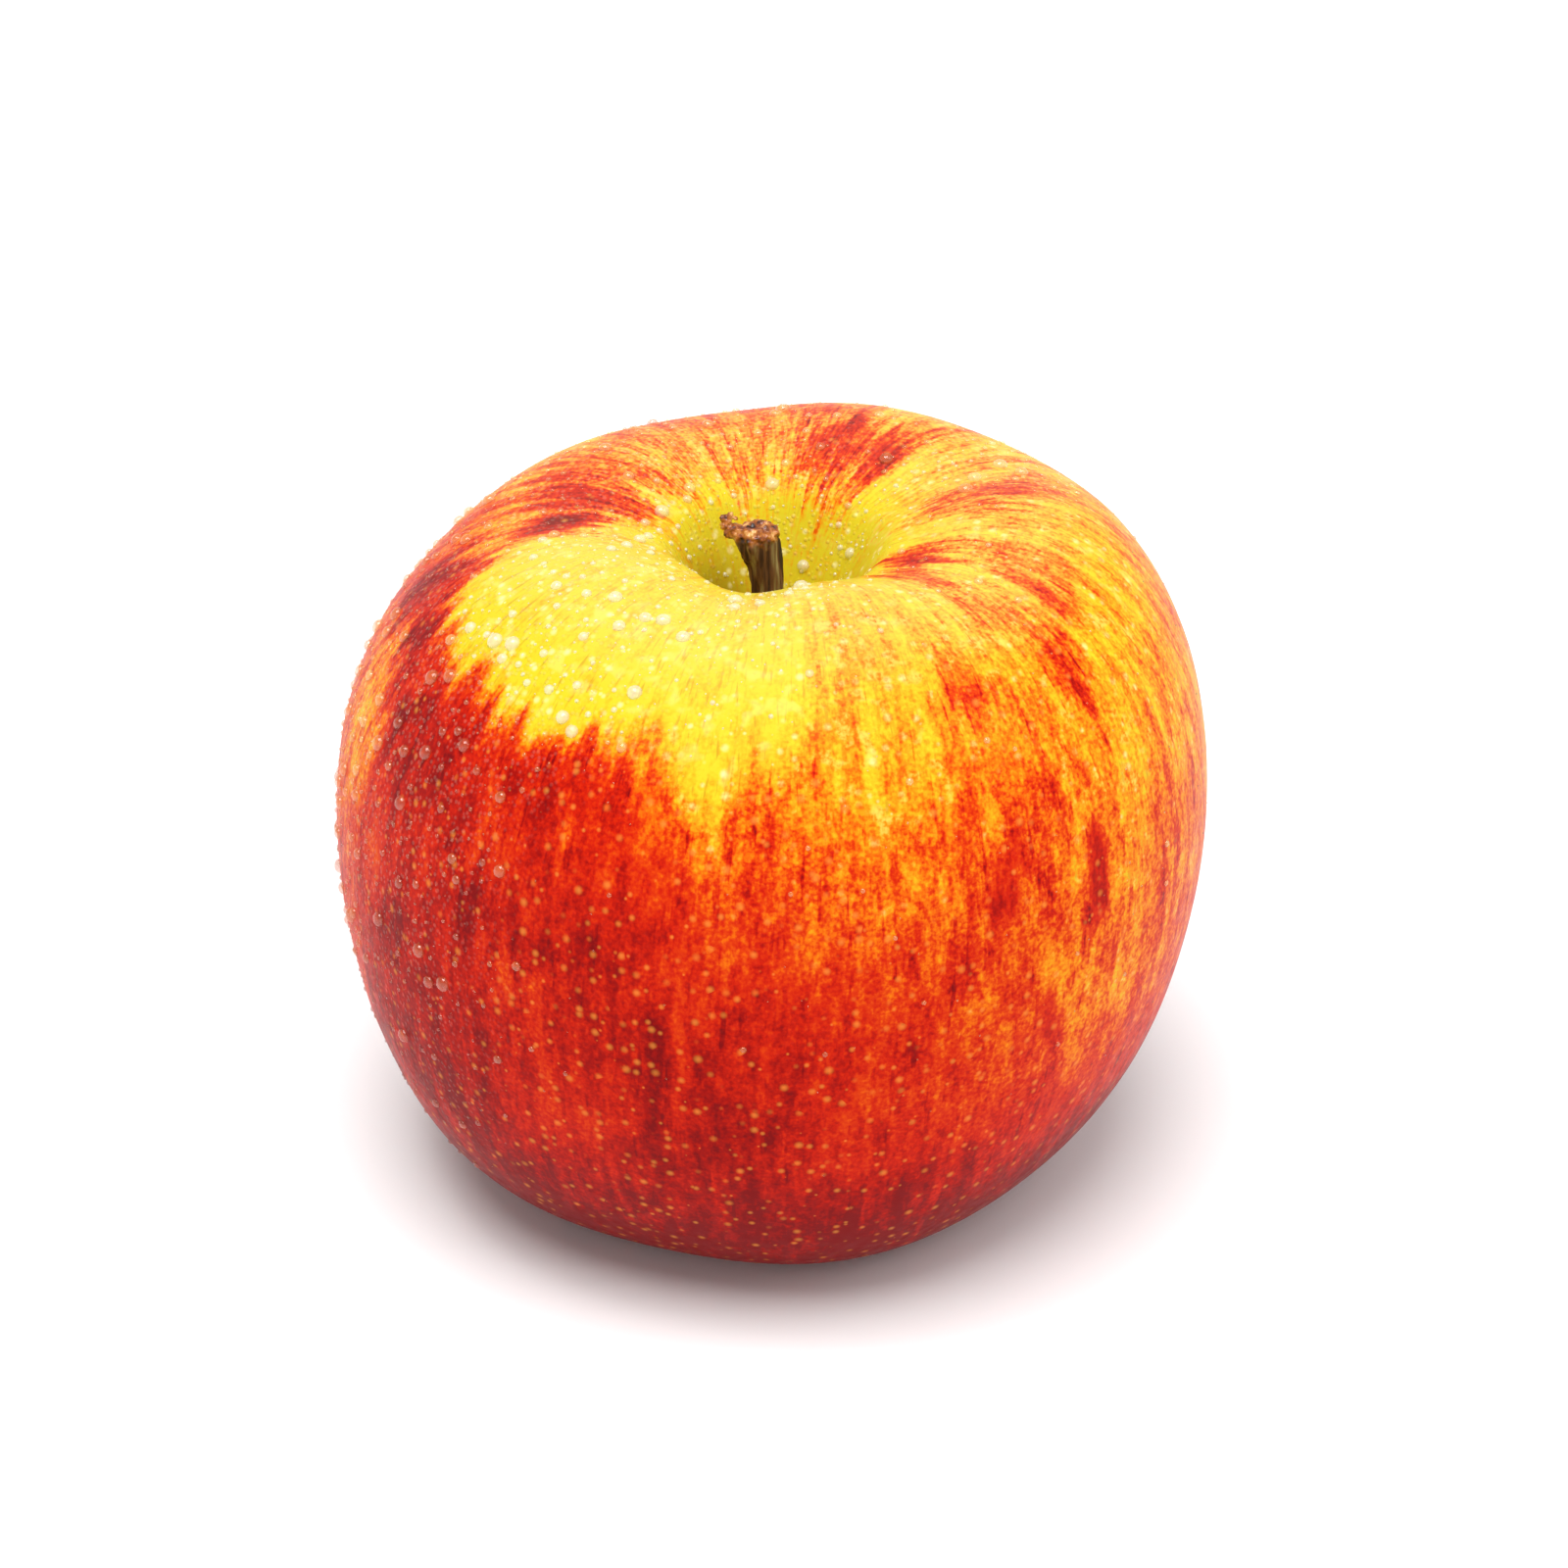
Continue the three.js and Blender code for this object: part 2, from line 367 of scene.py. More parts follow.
# How each point of the even fruit moves as it grows: a name, a Math operation and its terms, in order.
GROWTH = (
    ("Lobe Turn", "SUBTRACT", "Angle", "Lobe Angle"),
    ("Lobe Turns", "MULTIPLY", "Lobe Turn", LOBES),
    ("Lobe", "COSINE", "Lobe Turns"),
    ("Over Widest", "SUBTRACT", "Level", "Widest Height"),
    ("Upper Span", "SUBTRACT", "Crown Height", "Widest Height"),
    ("Above", "DIVIDE", "Over Widest", "Upper Span"),
    ("Across Crown", "DIVIDE", "Reach", "Crown Radius"),
    ("Crown Least", "MINIMUM", "Above", "Across Crown"),
    ("Crown Most", "MINIMUM", "Crown Least", 1.0),
    ("Crown", "MAXIMUM", "Crown Most", 0.0),
    ("Level Share", "DIVIDE", "Level", "Widest Height"),
    ("Below", "SUBTRACT", 1.0, "Level Share"),
    ("Across Foot", "DIVIDE", "Reach", "Foot Radius"),
    ("Foot Least", "MINIMUM", "Below", "Across Foot"),
    ("Foot Most", "MINIMUM", "Foot Least", 1.0),
    ("Foot", "MAXIMUM", "Foot Most", 0.0),
    ("Foot Less Crown", "SUBTRACT", "Foot", "Crown"),
    ("Lobe Share", "MULTIPLY", "Foot Less Crown", "Lobe"),
    ("Swell", "MULTIPLY_ADD", "Lobe Share", "Lobe Swell", 1.0),
    ("Grown Reach", "MULTIPLY", "Reach", "Swell"),
    ("Tilt Turn", "SUBTRACT", "Angle", "Tilt Angle"),
    ("Tilt Cosine", "COSINE", "Tilt Turn"),
    ("Tilt Reach", "MULTIPLY", "Grown Reach", "Tilt Cosine"),
    ("Side", "DIVIDE", "Tilt Reach", "Radius"),
    ("Tilt Share", "DIVIDE", "Crown Tilt", "Crown Height"),
    ("Tilt Factor", "MULTIPLY_ADD", "Side", "Tilt Share", 1.0),
    ("Ripple", "MULTIPLY", "Crown Ripple", "Crown"),
    ("Rippled Level", "MULTIPLY_ADD", "Ripple", "Lobe", "Level"),
    ("Z", "MULTIPLY", "Rippled Level", "Tilt Factor"),
    ("Z Share", "DIVIDE", "Z", "Crown Height"),
    ("Z Square", "MULTIPLY", "Z Share", "Z Share"),
    ("Widest Share", "DIVIDE", "Widest Height", "Crown Height"),
    ("Widest Square", "MULTIPLY", "Widest Share", "Widest Share"),
    ("Lean Share", "SUBTRACT", "Z Square", "Widest Square"),
    ("Lean", "MULTIPLY", "Crown Lean", "Lean Share"),
    ("Inside Crown", "MINIMUM", "Across Crown", 1.0),
    ("Inside Square", "MULTIPLY", "Inside Crown", "Inside Crown"),
    ("Cavity Share", "SUBTRACT", 1.0, "Inside Square"),
    ("In Crown", "GREATER_THAN", "Above", 0.0),
    ("Cavity Part", "MULTIPLY", "Cavity Share", "In Crown"),
    ("Offset", "MULTIPLY_ADD", "Cavity Shift", "Cavity Part", "Lean"),
    ("Cosine", "COSINE", "Angle"),
    ("Sine", "SINE", "Angle"),
    ("X", "MULTIPLY_ADD", "Grown Reach", "Cosine", "Offset"),
    ("Y", "MULTIPLY", "Grown Reach", "Sine"),
)


def fruit_tree(sizes, material):
    """Turns the outline into a closed skin, grows its lobes and lean, and stores each point's place on it."""
    tree, given = node_group("Grow Apple", sizes)
    outline = given.outputs["Geometry"]
    columns = add(tree, "ShaderNodeMath", {0: given.outputs["Sides"], 1: 1}, operation="ADD")
    rows = add(tree, "ShaderNodeMath", {0: given.outputs["Rings"], 1: 1}, operation="ADD")
    counts = {"Size X": 1, "Size Y": 1, "Vertices X": columns, "Vertices Y": rows}
    sheet = add(tree, "GeometryNodeMeshGrid", counts)
    spread = add(tree, "ShaderNodeSeparateXYZ", {0: sheet.outputs["UV Map"]})
    point = add(
        tree, "GeometryNodeSampleCurve", {"Curves": outline, "Factor": spread.outputs[1]}, mode="FACTOR"
    )
    on_outline = add(tree, "ShaderNodeSeparateXYZ", {0: point.outputs["Position"]})
    angle = add(tree, "ShaderNodeMath", {0: spread.outputs[0], 1: -math.tau}, operation="MULTIPLY")
    value = {socket.name: socket for socket in given.outputs}
    value |= {"Angle": angle, "Reach": on_outline.outputs[0], "Level": on_outline.outputs[2]}
    for name, operation, *terms in GROWTH:
        links = {i: value.get(term, term) for i, term in enumerate(terms)}
        value[name] = add(tree, "ShaderNodeMath", links, operation=operation, label=name)
    grown = add(tree, "ShaderNodeCombineXYZ", {0: value["X"], 1: value["Y"], 2: value["Z"]})
    length = add(tree, "GeometryNodeCurveLength", {0: outline})
    down = add(tree, "ShaderNodeMath", {0: spread.outputs[1], 1: length}, operation="MULTIPLY")
    down_mm = add(tree, "ShaderNodeMath", {0: down, 1: 1 / MM}, operation="MULTIPLY")
    place = add(tree, "ShaderNodeCombineXYZ", {0: value["Cosine"], 1: value["Sine"], 2: down_mm})
    stored = add(
        tree,
        "GeometryNodeStoreNamedAttribute",
        {"Geometry": sheet, "Name": "place", "Value": place},
        data_type="FLOAT_VECTOR",
        domain="POINT",
    )
    shaped = add(tree, "GeometryNodeSetPosition", {"Geometry": stored, "Position": grown})
    closed = add(tree, "GeometryNodeMergeByDistance", {"Geometry": shaped, "Distance": 1e-7})
    # Dents 17 mm across. The foot stays level, so they fade out towards it.
    here = add(tree, "GeometryNodeInputPosition")
    height = add(tree, "ShaderNodeSeparateXYZ", {0: here})
    off_foot = add(tree, "ShaderNodeMapRange", {0: height.outputs[2], 1: 1 * MM, 2: 9 * MM})
    dents = add(tree, "ShaderNodeTexNoise", {"Vector": here, "Scale": 1 / (17 * MM), "Detail": 2.0})
    centred = add(tree, "ShaderNodeMath", {0: dents, 1: 0.5}, operation="SUBTRACT")
    depth = add(tree, "ShaderNodeMath", {0: centred, 1: given.outputs["Unevenness"]}, operation="MULTIPLY")
    faded = add(tree, "ShaderNodeMath", {0: depth, 1: off_foot}, operation="MULTIPLY")
    normal = add(tree, "GeometryNodeInputNormal")
    push = add(tree, "ShaderNodeVectorMath", {0: normal, "Scale": faded}, operation="SCALE")
    uneven = add(tree, "GeometryNodeSetPosition", {"Geometry": closed, "Offset": push})
    smooth = add(tree, "GeometryNodeSetShadeSmooth", {"Geometry": uneven})
    whole = add(tree, "GeometryNodeRealizeInstances", {"Geometry": smooth})
    dressed = add(tree, "GeometryNodeSetMaterial", {"Geometry": whole, "Material": material})
    add(tree, "NodeGroupOutput", {0: dressed})
    return tree


# Blush on the skin, as ragged oval patches: degrees round from +X, mm down the skin from the middle of the
# stem cavity, half width in degrees, half height in mm, how much redder or yellower it makes the skin, and
# how soft its edge is.
BLUSH = (
    (-135, 29, 42, 12.5, -0.40, 0.42),  # yellow patch on the left shoulder
    (-98, 34, 14, 11, -0.30, 0.7),
    (-76, 38, 22, 10, -0.12, 0.9),
    (-86, 38, 9, 9, 0.09, 0.9),
    (-177, 24, 12, 6, 0.26, 0.8),
    (-172, 38, 13, 6, 0.28, 0.7),  # crimson band that runs down from it
    (-158, 42, 12, 6, 0.26, 0.7),
    (-165, 48, 9, 7, -0.16, 0.9),
    (-181, 25, 7, 4, 0.22, 0.9),
    (-144, 47, 14, 7, 0.16, 0.8),
    (-128, 50, 36, 12, 0.19, 0.8),
    (-118, 43, 20, 4, 0.10, 0.8),
    (-100, 62, 28, 17, 0.10, 0.9),
    (-150, 58, 11, 9, 0.12, 0.9),
    (-140, 69, 20, 14, 0.15, 0.9),
    (-130, 56, 2.5, 7, 0.16, 0.9),
    (-122, 47, 2.0, 5, 0.12, 0.9),
    (-156, 48, 3.0, 5, 0.16, 0.9),
    (-20, 58, 40, 30, -0.17, 0.9),  # orange right cheek
    (-50, 74, 26, 20, -0.06, 0.9),
    (-60, 37, 4, 5, 0.22, 0.9),
    (-39, 37, 6, 5, 0.20, 0.8),
    (-31, 33, 3, 6, 0.18, 0.9),
    (-66, 47, 4, 4, 0.06, 0.9),
    (-60, 53, 4, 4, 0.16, 0.9),
    (-46, 54, 2, 6, 0.34, 0.8),
    (-28, 49, 2, 7, 0.16, 0.9),
    (-54, 66, 2, 3, 0.16, 0.9),
    (-44, 20.5, 8, 5, 0.44, 0.9),  # red on the right of the crown
    (-28, 20, 12, 4.5, 0.40, 0.9),
    (-33, 20, 12, 4, 0.18, 0.9),
    (-30, 26, 34, 10, 0.19, 0.9),
    (4, 23, 14, 6, 0.30, 0.7),
    (16, 25, 30, 9, 0.18, 0.9),
    (115, 25, 78, 10, 0.32, 0.7),  # orange and red back of the crown
    (64, 20, 24, 7, 0.34, 0.7),
    (52, 21, 8, 5, 0.28, 0.9),
    (47, 27, 12, 6, 0.20, 0.9),
    (66, 18, 5, 4, 0.18, 0.9),
    (158, 24, 17, 8, 0.12, 0.8),
    (164, 23, 5, 6, 0.14, 0.9),
    (174, 33, 22, 13, 0.28, 0.9),
    (30, 52, 30, 18, -0.12, 0.9),
    (70, 56, 30, 22, 0.10, 0.9),
    (120, 48, 28, 18, 0.12, 0.9),
    (150, 66, 26, 20, -0.08, 0.9),
    (96, 40, 4, 9, 0.20, 0.9),
    (48, 38, 3, 8, 0.20, 0.9),
)
# Where water clings, in the same terms.
WET = (
    (-165, 38, 50, 40, 1.1, 1.0),
    (-128, 28, 34, 20, 0.7, 1.0),
    (170, 26, 50, 26, 0.9, 1.0),
    (110, 22, 60, 18, 0.8, 1.0),
    (60, 12, 60, 12, 0.8, 1.0),
    (-90, 26, 30, 14, 0.35, 1.0),
    (-95, 18, 34, 8, 0.8, 1.0),
    (-30, 22, 40, 12, 0.25, 1.0),
    (-150, 66, 34, 28, 0.55, 1.0),
    (30, 26, 34, 14, 0.6, 1.0),
)
# Waves that make the edges of patches ragged: waves round the fruit, their drift down it, and their height.
RAGGED = ((13, 0.05, 0.9), (29, -0.11, 0.8), (57, 0.17, 0.8), (96, -0.31, 0.6))


def soft_step(value, low, high):
    """Rises smoothly from 0 at the low end to 1 at the high end."""
    share = np.clip((value - low) / (high - low), 0, 1)
    return share * share * (3 - 2 * share)


# How gently the painted numbers bend at their least value.
EASE = 0.05


def paint(mesh, name, start, patches, least):
    """Stores a number at each point of the skin: a start value, and patches that fade out to their edges."""
    place = np.zeros(len(mesh.vertices) * 3, np.float32)
    mesh.attributes["place"].data.foreach_get("vector", place)
    place = place.reshape(-1, 3)
    angle = np.arctan2(place[:, 1], place[:, 0])
    down = place[:, 2]
    for waves, drift, height in RAGGED:
        down = down + height * np.sin(waves * angle + drift * place[:, 2] + waves)
    value = start(place[:, 2])
    for turn, middle, wide, tall, strength, edge in patches:
        across = (np.degrees(angle) - turn + 180) % 360 - 180
        far = (across / wide) ** 2 + ((down - middle) / tall) ** 2
        value = value + strength * soft_step(1 - far, 0, edge)
    # Nowhere much below the least value, so the streaks still show there.
    over = value - least
    value = least + (over + np.sqrt(over**2 + EASE**2)) / 2
    layer = mesh.attributes.new(name, "FLOAT", "POINT")
    layer.data.foreach_set("value", value.astype(np.float32))


def usual_blush(down):
    """Blush of an even skin: yellow in the cavity, deeper red and painted shade towards the foot, fading in
    the basin.
    """
    shoulder = 0.50 * soft_step(down, 18, 49)
    cheek = 0.18 * soft_step(down, 46, 68)
    # Painted shade in part: the deepening towards the foot also stands for the dimmer light under the fruit.
    foot = 0.32 * soft_step(down, 67, 93)
    basin = 0.50 * soft_step(down, 96, 118)
    return 0.06 + shoulder + cheek + foot - basin


def usual_wet(down):
    """A few beads anywhere but under the fruit."""
    return 0.06 * (1 - soft_step(down, 62, 78))


# Streaks that run from pole to pole: how fine each is round the fruit, in waves a radian, and down it, in
# waves a millimetre, and how far it moves the blush where that is strong.
STREAKS = ((4, 0.05, 0.05), (13, 0.06, 0.11), (30, 0.17, 0.12), (70, 0.80, 0.09))
# Mottling between the streaks: blotches, dabs and grains of red, by their width and how far each moves it.
MOTTLES = ((3.0 * MM, 0.07), (0.9 * MM, 0.08), (0.35 * MM, 0.14))
# Spacing of the pores, of the beads of mist and of the dimples of the peel, size of the cream blots that are
# painted highlight for the gleam of water drops, and size of the netting of the cork in the basin.
PORE_SPACING = 1.15 * MM
BEAD_SPACING = 0.55 * MM
PEEL_SPACING = 1.1 * MM
DROP_GLEAM_SIZE = 1.6 * MM
NET_SIZE = 1.5 * MM
# The crest of the crown, in mm down the skin.
CREST = 26.0


def waxy_skin(colours):
    """Apple skin under its own wax: a yellow ground, red streaks from pole to pole, and pale lenticels.

    The wax gives a soft, low sheen, so the colour stays deep. The numbers that a place on the skin is
    compared with are mm down it from the middle of the stem cavity.
    """
    material, tree = new_material("Waxy apple skin")
    place = add(tree, "ShaderNodeAttribute", attribute_name="place").outputs["Vector"]
    blush = add(tree, "ShaderNodeAttribute", attribute_name="blush").outputs["Fac"]
    wet = add(tree, "ShaderNodeAttribute", attribute_name="wet").outputs["Fac"]
    solid = add(tree, "ShaderNodeTexCoord").outputs["Object"]
    down = add(tree, "ShaderNodeSeparateXYZ", {0: place}).outputs[2]

    def drawn(across, along, detail):
        """Noise drawn out from pole to pole."""
        scales = (across, across, along)
        vector = add(tree, "ShaderNodeVectorMath", {0: place, 1: scales}, operation="MULTIPLY")
        return add(tree, "ShaderNodeTexNoise", {"Vector": vector, "Scale": 1.0, "Detail": detail})

    def between(value, low, high, start=0.0, stop=1.0):
        """Follows a value smoothly from one number to another."""
        ends = {0: value, 1: low, 2: high, 3: start, 4: stop}
        return add(tree, "ShaderNodeMapRange", ends, interpolation_type="SMOOTHSTEP")

    def maths(operation, *terms, **settings):
        return add(tree, "ShaderNodeMath", dict(enumerate(terms)), operation=operation, **settings)

    def mixed(share, one, other):
        return add(tree, "ShaderNodeMix", {0: share, 6: one, 7: other}, data_type="RGBA").outputs[2]

    # Streaks are fainter on plain yellow and on the deepest red, and strongest inside the crest.
    cover = between(blush, 0.0, 0.35, 0.6, 1.0)
    calm = between(blush, 0.55, 0.85, 1.0, 0.55)
    strength = maths("MULTIPLY", maths("MULTIPLY", cover, calm), between(down, 20.0, 36.0, 1.25, 1.0))
    tone = blush
    for across, along, share in STREAKS:
        ends = {0: drawn(across, along, 2.0), 1: 0.3, 2: 0.7, 3: -share, 4: share}
        swing = add(tree, "ShaderNodeMapRange", ends)
        tone = maths("MULTIPLY_ADD", swing, strength, tone)
    for across, share in MOTTLES:
        mottle = add(tree, "ShaderNodeTexNoise", {"Vector": solid, "Scale": 1 / across, "Detail": 2.0})
        ends = {0: mottle, 1: 0.3, 2: 0.7, 3: -1.2 * share, 4: 0.8 * share}
        swing = add(tree, "ShaderNodeMapRange", ends)
        tone = maths("MULTIPLY_ADD", swing, strength, tone)
    # Broken stripes of deeper red, and hairlines between them.
    stripe = between(drawn(15, 0.06, 2.0), 0.55, 0.72, 0.0, 0.12)
    tone = maths("MULTIPLY_ADD", stripe, strength, tone)
    hairline = between(drawn(60, 0.25, 2.0), 0.58, 0.74, 0.0, 0.20)
    tone = maths("MULTIPLY_ADD", hairline, strength, tone)
    colour = ramp(
        add(tree, "ShaderNodeValToRGB", {0: tone}),
        (
            (0.00, "#D7C426"),
            (0.20, "#DEAC1C"),
            (0.36, "#E48A12"),
            (0.49, "#E0660A"),
            (0.62, "#D23A08"),
            (0.75, "#C41E08"),
            (0.88, "#9E1008"),
            (1.00, "#7A0A0C"),
        ),
    )
    colour.color_ramp.elements[0].color = colours.ground
    colour.color_ramp.elements[-1].color = colours.deepest_blush

    # The floor of the cavity is green.
    green = mixed(between(down, 3.0, 14.0, 0.75, 0.0), colour, tuple(colours.cavity_green))
    # Painted shade on the -X side of the cavity, in olive-brown, and real russet cork, netted, in the basin.
    shaded_side = between(add(tree, "ShaderNodeSeparateXYZ", {0: place}).outputs[0], -1.0, 0.2, 0.9, 0.0)
    cavity_shade = maths("MULTIPLY", shaded_side, between(down, 7.0, 15.0, 1.0, 0.0))
    netting = add(tree, "ShaderNodeTexNoise", {"Vector": solid, "Scale": 1 / NET_SIZE, "Detail": 4.0})
    in_basin = maths("MULTIPLY", between(down, 103.0, 118.0), between(netting, 0.35, 0.62, 0.35, 0.95))
    # One mask: painted shade in the cavity and real russet in the basin.
    russet_and_shade = maths("MAXIMUM", cavity_shade, in_basin)
    with_russet_and_shade = mixed(russet_and_shade, green, tuple(colours.russet_and_shade))

    # On plain yellow: brown flecks drawn out like the streaks, and cream blots 2 mm across, painted highlight
    # for the gleam of water drops.
    plain = maths("MULTIPLY", between(tone, 0.15, 0.40, 1.0, 0.0), between(down, 10.0, 18.0))
    fleck = maths("MULTIPLY", plain, between(drawn(80, 0.45, 2.0), 0.57, 0.72, 0.0, 0.55))
    flecked = mixed(fleck, with_russet_and_shade, linear("#BC7A18"))
    gleam_noise = add(tree, "ShaderNodeTexNoise", {"Vector": solid, "Scale": 1 / DROP_GLEAM_SIZE, "Detail": 1.0})
    drop_gleam = maths("MULTIPLY", plain, between(gleam_noise, 0.54, 0.70, 0.0, 0.15))
    with_drop_gleam = mixed(drop_gleam, flecked, linear("#FFF8A8"))

    # Lenticels: pores of many widths, cream on yellow and golden on red, and faint between the two.
    pores = add(tree, "ShaderNodeTexVoronoi", {"Vector": solid, "Scale": 1 / PORE_SPACING})
    chance = add(tree, "ShaderNodeSeparateColor", {0: pores.outputs["Color"]})
    width = add(tree, "ShaderNodeMapRange", {0: chance, 3: 0.10, 4: 0.46})
    pore = between(maths("DIVIDE", pores, width), 0.1, 1.0, 0.50, 0.0)
    apart = maths("ABSOLUTE", maths("SUBTRACT", tone, 0.25))
    shown = maths("MULTIPLY", pore, between(apart, 0.05, 0.30, 0.6, 1.0))
    corky = mixed(between(tone, 0.15, 0.5), linear("#FFF8C0"), tuple(colours.lenticels))
    dotted = mixed(shown, with_drop_gleam, corky)

    # Painted reflection over the real mist: the colour is lifted towards pale where its beads stand.
    beads = add(tree, "ShaderNodeTexVoronoi", {"Vector": solid, "Scale": 1 / BEAD_SPACING})
    misted = maths("MULTIPLY", between(beads, 0.15, 0.42, 1.0, 0.0), wet, use_clamp=True)
    mist_reflection = maths("MULTIPLY", misted, 0.06)
    with_mist_reflection = mixed(mist_reflection, dotted, linear("#FFE3C8"))

    # Painted sheen: the crest is made paler, most on yellow, for the soft reflection of the light along it.
    crest = maths("ABSOLUTE", maths("SUBTRACT", down, CREST))
    crest_sheen = maths("MULTIPLY", between(crest, 2.0, 11.0, 1.0, 0.0), between(tone, 0.2, 0.6, 0.07, 0.03))
    with_crest_sheen = mixed(crest_sheen, with_mist_reflection, linear("#FFF6D8"))

    # Relief: a fine orange peel, with the beads of mist on it.
    peel = add(tree, "ShaderNodeTexNoise", {"Vector": solid, "Scale": 1 / PEEL_SPACING, "Detail": 2.0})
    peel_bump = add(tree, "ShaderNodeBump", {"Strength": 0.12, "Distance": 0.1 * MM, "Height": peel})
    bump_links = {"Strength": 0.45, "Distance": 0.12 * MM, "Height": misted, "Normal": peel_bump}
    bump = add(tree, "ShaderNodeBump", bump_links)
    rough = add(tree, "ShaderNodeMapRange", {0: peel, 1: 0.3, 2: 0.7, 3: 0.30, 4: 0.42})
    wax = {"Base Color": with_crest_sheen, "Roughness": rough, "IOR": 1.45, "Specular IOR Level": 0.05, "Normal": bump}
    skin = add(tree, "ShaderNodeBsdfPrincipled", wax)
    add(tree, "ShaderNodeOutputMaterial", {0: skin})
    return material


class APPLE_OT_fruit(bpy.types.Operator):
    """Grow the fruit: one solid of skin and flesh."""

    bl_idname = "apple.fruit"
    bl_label = "Fruit"

    def execute(self, context):
        shape = context.scene.apple_shape
        outline = fruit_outline(shape)
        curve = bpy.data.curves.new("fruit_outline", "CURVE")
        curve.dimensions = "3D"
        spline = curve.splines.new("POLY")
        spline.points.add(len(outline) - 1)
        for point, (reach, level) in zip(spline.points, outline):
            point.co = (reach, 0, level, 1)
        source = bpy.data.objects.new("fruit_outline", curve)
        context.scene.collection.objects.link(source)
        sizes = {
            "Sides": shape.sides,
            "Rings": shape.rings,
            "Radius": shape.radius,
            "Crown Height": shape.crown_height,
            "Widest Height": shape.widest_height,
            "Crown Radius": shape.crown_radius,
            "Foot Radius": shape.foot_radius,
            "Lobe Angle": shape.lobe_angle,
            "Lobe Swell": shape.lobe_swell,
            "Crown Ripple": shape.crown_ripple,
            "Crown Tilt": shape.crown_tilt,
            "Tilt Angle": shape.tilt_angle,
            "Crown Lean": shape.crown_lean,
            "Cavity Shift": shape.cavity_shift,
            # The noise is at most a half to either side.
            "Unevenness": 2 * shape.unevenness,
        }
        tree = fruit_tree(sizes, waxy_skin(context.scene.apple_skin))
        fruit = grown_mesh(source, tree, sizes, "apple_fruit")
        bpy.data.objects.remove(source)
        paint(fruit.data, "blush", usual_blush, BLUSH, 0.02)
        paint(fruit.data, "wet", usual_wet, WET, -1.0)
        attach(fruit, "root")
        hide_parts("fruit")
        return {"FINISHED"}


# ---------------------------------------------------------------- stem


def tube(path, radii, sides):
    """A closed tube round a path of points, with a radius at each of them."""
    points = []
    for step, (middle, radius) in enumerate(zip(path, radii)):
        along = (path[min(step + 1, len(path) - 1)] - path[max(step - 1, 0)]).normalized()
        turn = Vector((0, 0, 1)).rotation_difference(along)
        for side in range(sides):
            angle = side / sides * math.tau
            points.append(middle + turn @ (Vector((math.cos(angle), math.sin(angle), 0)) * radius))
    faces = []
    for step in range(len(path) - 1):
        for side in range(sides):
            low, next_low = step * sides + side, step * sides + (side + 1) % sides
            faces.append((low, next_low, next_low + sides, low + sides))
    last = len(points) - sides
    for ring, end in ((range(sides), path[0]), (range(last, last + sides), path[-1])):
        points.append(end)
        for side in range(sides):
            low, high = ring[side], ring[(side + 1) % sides]
            faces.append((high, low, len(points) - 1) if end is path[0] else (low, high, len(points) - 1))
    return points, faces


# Middle of the cavity's floor, where the stem grows.
STEM_SEAT = Vector((-0.22, 0, 45)) * MM
# The stem's middle line and thickness, in mm from the floor of the cavity and in radii of its waist.
STEM_COURSE = (
    ((0.0, 0.0, -1.6), 1.30),
    ((0.0, 0.0, 0.6), 1.22),
    ((0.1, 0.0, 3.0), 1.06),
    ((0.0, 0.0, 6.5), 1.00),
    ((-0.15, 0.0, 9.0), 1.02),
    ((-0.40, 0.0, 11.0), 1.10),
    ((-0.80, 0.0, 12.6), 1.28),
    ((-1.10, 0.0, 13.6), 1.32),
    ((-1.25, 0.0, 14.3), 0.95),
)
# Lumps of the broken end, in mm from the floor of the cavity: middle and half size. The last ones curl up.
KNOB_LUMPS = (
    ((-0.25, -0.85, 13.5), (0.80, 0.62, 0.80)),
    ((0.30, 0.10, 13.7), (0.66, 0.80, 0.62)),
    ((-1.50, -0.45, 13.8), (1.05, 0.95, 0.76)),
    ((-2.30, -0.30, 13.7), (0.88, 0.76, 0.70)),
    ((-3.05, -0.15, 13.9), (0.76, 0.68, 0.70)),
    ((-3.50, 0.00, 14.4), (0.56, 0.54, 0.60)),
    ((-3.60, 0.05, 14.9), (0.40, 0.40, 0.44)),
    ((-3.20, 0.10, 15.2), (0.36, 0.30, 0.26)),
    ((-2.75, 0.10, 15.0), (0.24, 0.24, 0.24)),
)


